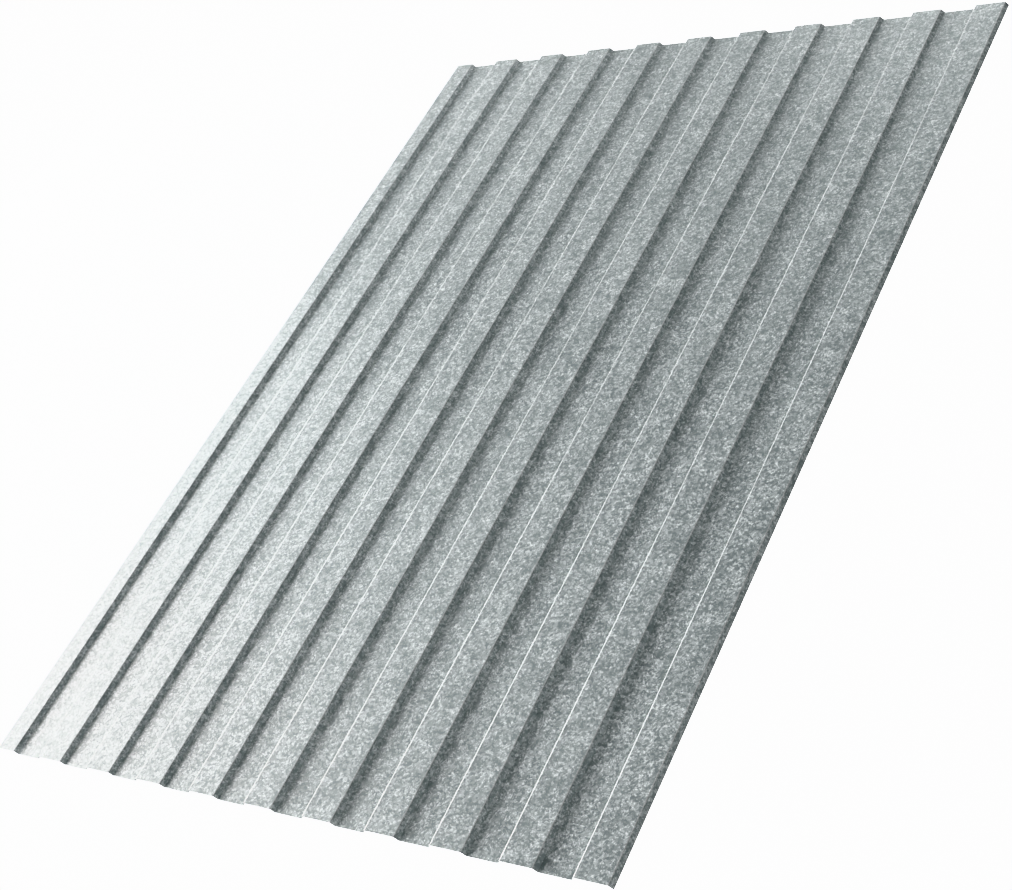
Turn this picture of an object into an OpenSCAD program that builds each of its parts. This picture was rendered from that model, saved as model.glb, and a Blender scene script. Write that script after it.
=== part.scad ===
// Trapezoidal roll-formed metal sheet: one piece of thin steel, folded into
// flat crests and flat valleys that run its whole length.
//
// Frame: X across the ribs, Y along them, Z up. The origin is the centre of
// the sheet's footprint, on the plane that the valleys rest on.

/* [Sheet] */
// Length along the ribs
sheet_l = 1700; // [500:50:6000]
// Thickness of the metal
metal_t = 0.5; // [0.4:0.1:0.8]
// Overall height, from under the valleys to the top of the crests
profile_h = 8; // [6:0.5:12]

/* [Ribs] */
// Distance from one rib to the next
pitch = 115; // [95:1:140]
// Number of full pitches, which is the cover width in ribs
pitches = 10; // [4:1:12]
// Width of a crest's flat, between the corners of its bends
crest_w = 52.5; // [35:0.5:65]
// Run of a sloping web across the sheet, from corner to corner
web_run = 5; // [3:0.5:8]
// Width of the part crest at the left edge, which laps over the next sheet
lap_w = 39; // [15:1:50]

/* [Bends] */
// Radius on the inside of each bend
bend_r = 1.5; // [0.5:0.25:2]
// Flat steps that each bend is drawn with
bend_steps = 6; // [3:1:12]

/* [Hidden] */

crest_z = profile_h - metal_t / 2;  // the metal's mid line on a crest
valley_z = metal_t / 2;             // and in a valley
mid_r = bend_r + metal_t / 2;       // a bend's radius on the mid line
web_angle = atan2(crest_z - valley_z, web_run);
edge_out = metal_t / 2 * sin(web_angle); // the cut edge, past the mid line
overall_w = lap_w + pitches * pitch + web_run + edge_out;

// The mid line's corners, from the left edge to the right one. Each rib's
// falling web starts at the end of its crest, and the next crest follows.
function falling_web(x) = [[x, crest_z], [x + web_run, valley_z]];
function rising_web(x) = [[x - web_run, valley_z], [x, crest_z]];
mid_line = [
    [0, crest_z],
    for (i = [0:pitches]) each concat(
        i == 0 ? [] : rising_web(lap_w + i * pitch - crest_w),
        falling_web(lap_w + i * pitch))
];

function unit(v) = v / norm(v);
function left_of(v) = [-v.y, v.x];
function heading(i) = unit(mid_line[i + 1] - mid_line[i]);
function turn(i) = heading(i - 1).y > heading(i).y ? -1 : 1; // -1 bends down

// The arc of one bend, on the face that lies `side` half thicknesses to the
// left of the mid line.
function bend(i, side) =
    let (toward = unit(heading(i) - heading(i - 1)),
         centre = mid_line[i] + toward * mid_r / cos(web_angle / 2),
         first = -turn(i) * left_of(heading(i - 1)),
         r = mid_r - turn(i) * side * metal_t / 2)
    [for (s = [0:bend_steps])
        let (a = turn(i) * web_angle * s / bend_steps)
        centre + r * [first.x * cos(a) - first.y * sin(a),
                      first.x * sin(a) + first.y * cos(a)]];

// An end of the mid line, moved onto that face.
function edge(i, h, side) = [mid_line[i] + side * metal_t / 2 * left_of(h)];

last = len(mid_line) - 1;
function face(side) = concat(
    edge(0, heading(0), side),
    [for (i = [1:last - 1]) each bend(i, side)],
    edge(last, heading(last - 1), side));

function reversed(list) = [for (i = [len(list) - 1:-1:0]) list[i]];

module section() {
    polygon(concat(face(1), reversed(face(-1))));
}

module corrugated_sheet() {
    color("lightslategray")
        translate([-overall_w / 2, sheet_l / 2, 0])
            rotate([90, 0, 0])
                linear_extrude(height = sheet_l)
                    section();
}

corrugated_sheet();
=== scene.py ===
"""Looks of the corrugated sheet: spangled galvanised steel, lying on a pale studio floor."""

import math

import bpy
from mathutils import Matrix, Vector


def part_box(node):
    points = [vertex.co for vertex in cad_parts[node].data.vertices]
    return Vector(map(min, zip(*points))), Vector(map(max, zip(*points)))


SHEET = "corrugated_sheet"

# The camera looks down on the sheet from past its near right corner, and leans to its right.
# Its place, aim, roll and lens were solved from the sheet's straight edges in the photo.
CAMERA_AT = Vector((1.7955, -1.5928, 1.7430))
LOOKS_AT = Vector((0.06483, -0.16199, 0.0))
CAMERA_ROLL = math.radians(-33.835)
CAMERA_LENS = 63.849

# Softboxes, each with its centre, width, height and power. They all face the sheet's middle.
SOFTBOXES = {
    "near_front": ((-2.2, -1.4, 0.6), 1.0, 0.8, 12.0),
    "near_back": ((-1.75, 0.5, 0.45), 0.8, 0.8, 6.5),
    "back": ((0.0, 3.5, 0.9), 3.0, 1.5, 37.0),
    "back_left": ((-2.0, 3.0, 0.9), 2.5, 1.5, 6.0),
    "right": ((3.0, 0.0, 1.0), 2.0, 1.5, 4.0),
}
# These two light the sheet but don't show in its sheen. The key's sheen is a box of its own.
MATT_BOXES = {
    "key": ((-3.0, -2.0, 0.8), 2.5, 1.5, 375.0),
    "overhead": ((0.0, 0.0, 3.5), 2.0, 2.0, 47.0),
}
# The glare is mirrored in the near left corner, and the rim along each crest's left bend.
SHEEN_BOXES = {
    "key_sheen": ((-3.0, -2.0, 0.8), 2.5, 1.5, 130.0),
    "glare": ((-3.1, 0.0, 1.45), 1.4, 1.4, 33.0),
    "rim": ((-2.8, 1.7, 0.4), 3.0, 0.6, 26.0),
}
GLARE_COLOUR = (1.0, 0.88, 0.86)
WORLD_LIGHT = 0.14
FLOOR_COLOUR = 0.85
BACKDROP_GLOW = 4.0

# The zinc coating's pattern, in metres.
CRYSTAL = 0.0038
WISP_PATCH = 0.012
WISP = 0.0023
CLOUD = 0.018
TONE = 0.35

# How much each part of the pattern adds to its lightness, and what is taken off the sum.
CRYSTAL_SHARE = 0.45
CLOUD_SHARE = 0.12
TONE_SHARE = 0.03
WISP_SHARE = 0.5
LIGHTNESS_CUT = 0.045

# The zinc where its pattern is darkest and palest, the painted highlight on the crests' bends, and the
# painted shade in the valleys' bends.
DARK_ZINC = (0.265, 0.315, 0.32, 1.0)
PALE_ZINC = (0.91, 0.96, 0.96, 1.0)
PAINTED_HIGHLIGHT_ZINC = (0.94, 0.96, 0.96, 1.0)
PAINTED_SHADE_ZINC = (0.16, 0.17, 0.17, 1.0)
PAINTED_SHADE_SHARE = 0.3
DARK_METALLIC = 0.62
METALLIC_FALL = 0.9
CREST_BEND_METALLIC = 0.6
ROUGHNESS = (0.44, 0.56)
CREST_BEND_ROUGHNESS = 0.25
WHITE = (1.0, 1.0, 1.0, 1.0)


def put(socket, value):
    """Links value to socket if it is another socket, and otherwise sets it."""
    if isinstance(value, bpy.types.NodeSocket):
        socket.id_data.links.new(value, socket)
    else:
        socket.default_value = value


def add(tree, kind, settings=None, **values):
    """A new node. Each value is for the input of that name, with _ for a space."""
    node = tree.nodes.new("ShaderNode" + kind)
    for name, value in (settings or {}).items():
        setattr(node, name, value)
    for name, value in values.items():
        put(node.inputs[name.replace("_", " ")], value)
    return node


def calc(tree, operation, *values):
    """One step of arithmetic on numbers."""
    node = add(tree, "Math", {"operation": operation})
    for socket, value in zip(node.inputs, values):
        put(socket, value)
    return node.outputs[0]


def vector_calc(tree, operation, *values):
    """One step of arithmetic on vectors."""
    node = add(tree, "VectorMath", {"operation": operation})
    for socket, value in zip(node.inputs, values):
        put(socket, value)
    return node.outputs[0]


def ramp(tree, value, low, high, to_low=0.0, to_high=1.0):
    """value, eased from to_low at low to to_high at high."""
    node = add(tree, "MapRange", {"interpolation_type": "SMOOTHSTEP"}, Value=value)
    for name, number in (("From Min", low), ("From Max", high), ("To Min", to_low), ("To Max", to_high)):
        put(node.inputs[name], number)
    return node.outputs[0]


def mixed(tree, share, first, second):
    """first, with that share of second mixed into it."""
    node = add(tree, "Mix", {"data_type": "RGBA"})
    for index, value in ((0, share), (6, first), (7, second)):
        put(node.inputs[index], value)
    return node.outputs[2]


def toward(tree, share, first, second):
    """The number first, moved by that share of the way to second."""
    return calc(tree, "MULTIPLY_ADD", share, calc(tree, "SUBTRACT", second, first), first)


def noise(tree, place, size, detail=2.0, roughness=0.5):
    """Smooth noise with features of about that size."""
    return add(tree, "TexNoise", Vector=place, Scale=1 / size, Detail=detail, Roughness=roughness)


def random_cells(tree, place, size):
    """Three random numbers for each cell of about that size."""
    cells = add(tree, "TexVoronoi", Vector=place, Scale=1 / size)
    return cells.outputs["Color"]


def warped(tree, place, size, reach):
    """place, pushed about by up to reach, so that cells get uneven edges."""
    push = vector_calc(tree, "SUBTRACT", noise(tree, place, size).outputs["Color"], (0.5, 0.5, 0.5))
    return vector_calc(tree, "ADD", place, vector_calc(tree, "MULTIPLY", push, (2 * reach,) * 3))


def wisps(tree, place):
    """Short strokes, turned a different way in each patch of the coating."""
    patch = random_cells(tree, warped(tree, place, WISP_PATCH / 2, WISP_PATCH / 3), WISP_PATCH)
    turn = calc(tree, "MULTIPLY", add(tree, "SeparateColor", Color=patch).outputs["Red"], math.pi)
    along = add(tree, "VectorRotate", {"rotation_type": "Z_AXIS"}, Vector=place, Angle=turn)
    stretched = vector_calc(tree, "MULTIPLY", along.outputs[0], (0.6, 1.0, 1.0))
    return noise(tree, stretched, WISP, detail=2.0, roughness=0.6).outputs["Fac"]


def bend_lines(tree, place, sheet_top):
    """Two masks: the crests' bends, which carry a painted highlight, and the valleys', which carry
    painted shade.
    """
    sideways = add(tree, "SeparateXYZ", Vector=add(tree, "NewGeometry").outputs["Normal"]).outputs["X"]
    lean = calc(tree, "ABSOLUTE", sideways)
    bent = calc(tree, "MULTIPLY", ramp(tree, lean, 0.03, 0.12), ramp(tree, lean, 0.45, 0.65, 1.0, 0.0))
    height = add(tree, "SeparateXYZ", Vector=place).outputs["Z"]
    high = calc(tree, "GREATER_THAN", height, sheet_top / 2)
    low = calc(tree, "SUBTRACT", 1.0, high)
    return calc(tree, "MULTIPLY", bent, high), calc(tree, "MULTIPLY", bent, low)


def galvanised_steel(sheet_top):
    material = bpy.data.materials.new("galvanised_steel")
    material.use_nodes = True
    tree = material.node_tree
    shader = tree.nodes["Principled BSDF"]
    place = add(tree, "TexCoord").outputs["Object"]

    crystal = random_cells(tree, warped(tree, place, CRYSTAL / 2, CRYSTAL / 2), CRYSTAL)
    facing = add(tree, "SeparateColor", Color=crystal).outputs
    cloud = noise(tree, place, CLOUD, detail=3.0).outputs["Fac"]
    tone = noise(tree, place, TONE, detail=1.0).outputs["Fac"]

    # Wisps are denser where the cloud noise is high.
    threshold = calc(tree, "MULTIPLY_ADD", cloud, -0.30, 0.72)
    strokes = ramp(tree, calc(tree, "SUBTRACT", wisps(tree, place), threshold), -0.04, 0.09)
    shade = calc(tree, "MULTIPLY", calc(tree, "POWER", facing["Red"], 2.0), CRYSTAL_SHARE)
    shade = calc(tree, "MULTIPLY_ADD", cloud, CLOUD_SHARE, shade)
    shade = calc(tree, "MULTIPLY_ADD", tone, TONE_SHARE, shade)
    light = calc(tree, "MULTIPLY_ADD", strokes, WISP_SHARE, shade)
    light = calc(tree, "SUBTRACT", light, LIGHTNESS_CUT)

    crest_bends, valley_shade = bend_lines(tree, place, sheet_top)
    colour = mixed(tree, light, DARK_ZINC, PALE_ZINC)
    # Painted shade darkens the valleys' bends, and a painted highlight makes the crests' bends pale.
    colour = mixed(tree, calc(tree, "MULTIPLY", valley_shade, PAINTED_SHADE_SHARE), colour, PAINTED_SHADE_ZINC)
    colour = mixed(tree, crest_bends, colour, PAINTED_HIGHLIGHT_ZINC)
    put(shader.inputs["Base Color"], colour)
    metal = calc(tree, "MULTIPLY_ADD", light, -METALLIC_FALL, DARK_METALLIC)
    # The crests' bends are also less rough, and their metallic value is set apart from the pattern's.
    put(shader.inputs["Metallic"], toward(tree, crest_bends, metal, CREST_BEND_METALLIC))
    put(shader.inputs["Coat Weight"], 0.6)
    put(shader.inputs["Coat Roughness"], 0.3)
    put(shader.inputs["Coat IOR"], 1.6)
    rough = ramp(tree, facing["Green"], 0.0, 1.0, *ROUGHNESS)
    put(shader.inputs["Roughness"], toward(tree, crest_bends, rough, CREST_BEND_ROUGHNESS))
    return material


def make_camera():
    data = bpy.data.cameras.new("camera")
    data.lens = CAMERA_LENS
    data.sensor_width = 36.0
    data.clip_start = 0.01
    data.clip_end = 100.0
    camera = bpy.data.objects.new("camera", data)
    level = (LOOKS_AT - CAMERA_AT).to_track_quat("-Z", "Y").to_matrix().to_4x4()
    camera.matrix_world = Matrix.Translation(CAMERA_AT) @ level @ Matrix.Rotation(CAMERA_ROLL, 4, "Z")
    bpy.context.scene.collection.objects.link(camera)
    bpy.context.scene.camera = camera


def seen_as(tree, to_camera, to_rest):
    """to_camera where the camera looks straight at it, and to_rest for all other light."""
    return toward(tree, add(tree, "LightPath").outputs["Is Camera Ray"], to_rest, to_camera)


def make_floor():
    bpy.ops.mesh.primitive_plane_add(size=40.0, location=(0.0, 0.0, 0.0))
    floor = bpy.context.object
    floor.name = "floor"
    material = bpy.data.materials.new("floor")
    material.use_nodes = True
    shader = material.node_tree.nodes["Principled BSDF"]
    put(shader.inputs["Base Color"], (FLOOR_COLOUR,) * 3 + (1.0,))
    put(shader.inputs["Roughness"], 0.9)
    put(shader.inputs["Specular IOR Level"], 0.0)
    put(shader.inputs["Emission Color"], WHITE)
    put(shader.inputs["Emission Strength"], seen_as(material.node_tree, BACKDROP_GLOW, 0.0))
    floor.data.materials.append(material)


def make_softbox(name, place, width, height, power):
    data = bpy.data.lights.new(name, "AREA")
    data.shape = "RECTANGLE"
    data.size = width
    data.size_y = height
    data.energy = power
    light = bpy.data.objects.new(name, data)
    light.location = place
    light.rotation_euler = (-Vector(place)).to_track_quat("-Z", "Y").to_euler()
    bpy.context.scene.collection.objects.link(light)
    return light


def make_lights():
    for name, values in SOFTBOXES.items():
        make_softbox(name, *values)
    for name, values in MATT_BOXES.items():
        make_softbox(name, *values).visible_glossy = False
    for name, values in SHEEN_BOXES.items():
        make_softbox(name, *values).visible_diffuse = False
    bpy.data.lights["glare"].color = GLARE_COLOUR
    world = bpy.data.worlds.new("studio")
    bpy.context.scene.world = world
    world.use_nodes = True
    background = world.node_tree.nodes["Background"]
    put(background.inputs["Color"], WHITE)
    put(background.inputs["Strength"], seen_as(world.node_tree, BACKDROP_GLOW, WORLD_LIGHT))


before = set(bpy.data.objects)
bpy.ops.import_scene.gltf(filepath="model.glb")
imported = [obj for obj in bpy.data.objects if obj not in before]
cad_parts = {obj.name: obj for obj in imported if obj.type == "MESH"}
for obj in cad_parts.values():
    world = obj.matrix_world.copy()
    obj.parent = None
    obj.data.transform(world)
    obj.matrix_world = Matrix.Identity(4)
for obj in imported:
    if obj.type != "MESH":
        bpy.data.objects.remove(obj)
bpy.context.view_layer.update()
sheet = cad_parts[SHEET]
sheet.data.materials.clear()
sheet.data.materials.append(galvanised_steel(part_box(SHEET)[1].z))
make_floor()
make_lights()
make_camera()
bpy.context.scene.view_settings.view_transform = "Khronos PBR Neutral"
